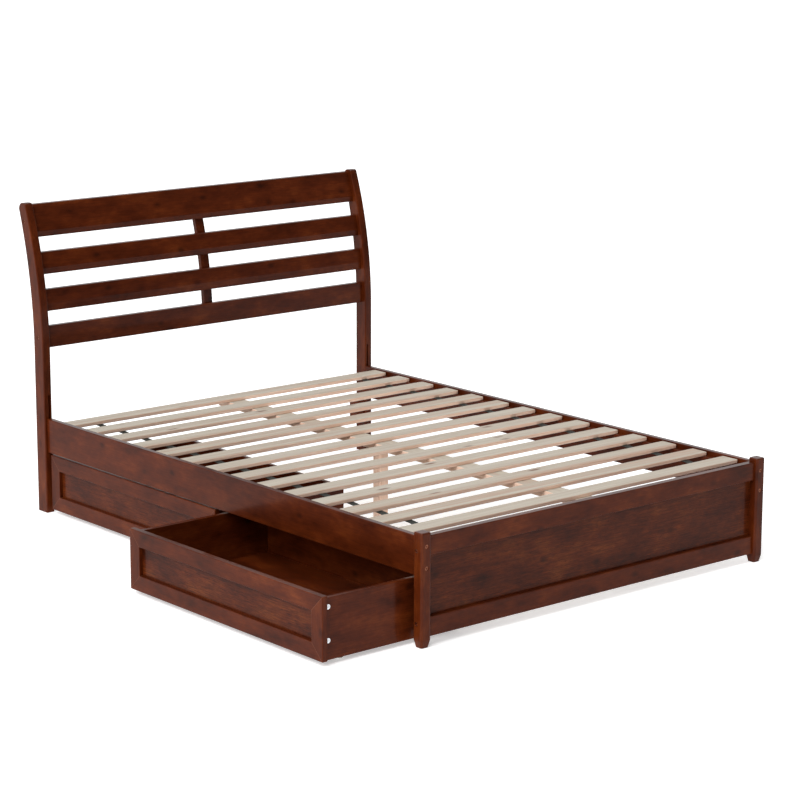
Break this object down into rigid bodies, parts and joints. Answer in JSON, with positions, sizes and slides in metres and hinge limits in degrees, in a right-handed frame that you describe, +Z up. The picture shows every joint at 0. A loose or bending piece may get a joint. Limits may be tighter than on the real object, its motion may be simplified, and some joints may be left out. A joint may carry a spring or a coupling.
{
  "type": "platform bed with storage drawers",
  "caption": "Full-size wooden platform bed with a swept slatted headboard, low panelled footboard, slatted deck and rolling drawers on one side.",
  "frame": {"origin": "on the floor under the centre leg", "axes": "+X across the bed away from the drawers, +Y from foot to head, +Z up"},
  "size_m": [1.746, 2.0793, 1.05],
  "materials": {
    "walnut_wood": "stained solid wood, semi-gloss lacquer",
    "walnut_veneer": "stained open-pore veneer, satin lacquer",
    "slat_wood": "planed bare softwood",
    "webbing": "woven polypropylene strap",
    "bronzed_steel": "antique bronze plating",
    "plate_steel": "blackened steel plate",
    "zinc": "die-cast zinc",
    "wheel_plastic": "pale moulded nylon"
  },
  "bodies": {
    "bed_frame": {"head_post_left": "walnut_wood", "head_post_right": "walnut_wood", "headboard_top_rail": "walnut_wood", "headboard_slat_upper": "walnut_wood", "headboard_slat_middle": "walnut_wood", "headboard_slat_lower": "walnut_wood", "headboard_centre_stile": "walnut_wood", "foot_post_left": "walnut_wood", "foot_post_right": "walnut_wood", "footboard_top_rail": "walnut_wood", "footboard_bottom_rail": "walnut_wood", "footboard_panel": "walnut_veneer", "side_rail_left": "walnut_wood", "side_rail_right": "walnut_wood", "slat_ledger_left": "walnut_wood", "slat_ledger_right": "walnut_wood", "slat_01": "slat_wood", "slat_02": "slat_wood", "slat_03": "slat_wood", "slat_04": "slat_wood", "slat_05": "slat_wood", "slat_06": "slat_wood", "slat_07": "slat_wood", "slat_08": "slat_wood", "slat_09": "slat_wood", "slat_10": "slat_wood", "slat_11": "slat_wood", "slat_12": "slat_wood", "slat_13": "slat_wood", "slat_14": "slat_wood", "slat_webbing": "webbing", "centre_board": "slat_wood", "centre_leg": "slat_wood", "corner_blocks": "walnut_wood", "frame_bolts": "bronzed_steel", "rail_hook_plates": "plate_steel"},
    "head_drawer": {"head_drawer_front_frame": "walnut_wood", "head_drawer_front_panel": "walnut_veneer", "head_drawer_side_head": "walnut_wood", "head_drawer_side_foot": "walnut_wood", "head_drawer_back": "walnut_wood", "head_drawer_bottom": "walnut_wood", "head_drawer_cam_locks": "zinc", "head_drawer_wheel_housings": "plate_steel"},
    "head_drawer_wheel_front_head": {"head_drawer_wheel_front_head": "wheel_plastic"},
    "head_drawer_wheel_front_foot": {"head_drawer_wheel_front_foot": "wheel_plastic"},
    "head_drawer_wheel_back_head": {"head_drawer_wheel_back_head": "wheel_plastic"},
    "head_drawer_wheel_back_foot": {"head_drawer_wheel_back_foot": "wheel_plastic"},
    "foot_drawer": {"foot_drawer_front_frame": "walnut_wood", "foot_drawer_front_panel": "walnut_veneer", "foot_drawer_side_head": "walnut_wood", "foot_drawer_side_foot": "walnut_wood", "foot_drawer_back": "walnut_wood", "foot_drawer_bottom": "walnut_wood", "foot_drawer_cam_locks": "zinc", "foot_drawer_wheel_housings": "plate_steel"},
    "foot_drawer_wheel_front_head": {"foot_drawer_wheel_front_head": "wheel_plastic"},
    "foot_drawer_wheel_front_foot": {"foot_drawer_wheel_front_foot": "wheel_plastic"},
    "foot_drawer_wheel_back_head": {"foot_drawer_wheel_back_head": "wheel_plastic"},
    "foot_drawer_wheel_back_foot": {"foot_drawer_wheel_back_foot": "wheel_plastic"}
  },
  "joints": [
    {"name": "head_drawer_slide", "type": "slide", "parent": "bed_frame", "child": "head_drawer", "axis": [-1, 0, 0], "range_m": [0, 0.45]},
    {"name": "head_drawer_wheel_front_head_spin", "type": "hinge", "parent": "head_drawer", "child": "head_drawer_wheel_front_head", "pos_m": [-0.612, 0.8607, 0.014], "axis": [0, -1, 0], "continuous": true},
    {"name": "head_drawer_wheel_front_foot_spin", "type": "hinge", "parent": "head_drawer", "child": "head_drawer_wheel_front_foot", "pos_m": [-0.612, -0.0023, 0.014], "axis": [0, -1, 0], "continuous": true},
    {"name": "head_drawer_wheel_back_head_spin", "type": "hinge", "parent": "head_drawer", "child": "head_drawer_wheel_back_head", "pos_m": [-0.274, 0.8607, 0.014], "axis": [0, -1, 0], "continuous": true},
    {"name": "head_drawer_wheel_back_foot_spin", "type": "hinge", "parent": "head_drawer", "child": "head_drawer_wheel_back_foot", "pos_m": [-0.274, -0.0023, 0.014], "axis": [0, -1, 0], "continuous": true},
    {"name": "foot_drawer_slide", "type": "slide", "parent": "bed_frame", "child": "foot_drawer", "axis": [-1, 0, 0], "range_m": [-0.327, 0.123]},
    {"name": "foot_drawer_wheel_front_head_spin", "type": "hinge", "parent": "foot_drawer", "child": "foot_drawer_wheel_front_head", "pos_m": [-0.939, -0.0873, 0.014], "axis": [0, -1, 0], "continuous": true},
    {"name": "foot_drawer_wheel_front_foot_spin", "type": "hinge", "parent": "foot_drawer", "child": "foot_drawer_wheel_front_foot", "pos_m": [-0.939, -0.9503, 0.014], "axis": [0, -1, 0], "continuous": true},
    {"name": "foot_drawer_wheel_back_head_spin", "type": "hinge", "parent": "foot_drawer", "child": "foot_drawer_wheel_back_head", "pos_m": [-0.601, -0.0873, 0.014], "axis": [0, -1, 0], "continuous": true},
    {"name": "foot_drawer_wheel_back_foot_spin", "type": "hinge", "parent": "foot_drawer", "child": "foot_drawer_wheel_back_foot", "pos_m": [-0.601, -0.9503, 0.014], "axis": [0, -1, 0], "continuous": true}
  ],
  "couplings": [
    {"joint": "head_drawer_wheel_front_head_spin", "follows": "head_drawer_slide", "rad_per_m": 71.429},
    {"joint": "head_drawer_wheel_front_foot_spin", "follows": "head_drawer_slide", "rad_per_m": 71.429},
    {"joint": "head_drawer_wheel_back_head_spin", "follows": "head_drawer_slide", "rad_per_m": 71.429},
    {"joint": "head_drawer_wheel_back_foot_spin", "follows": "head_drawer_slide", "rad_per_m": 71.429},
    {"joint": "foot_drawer_wheel_front_head_spin", "follows": "foot_drawer_slide", "rad_per_m": 71.429},
    {"joint": "foot_drawer_wheel_front_foot_spin", "follows": "foot_drawer_slide", "rad_per_m": 71.429},
    {"joint": "foot_drawer_wheel_back_head_spin", "follows": "foot_drawer_slide", "rad_per_m": 71.429},
    {"joint": "foot_drawer_wheel_back_foot_spin", "follows": "foot_drawer_slide", "rad_per_m": 71.429}
  ]
}
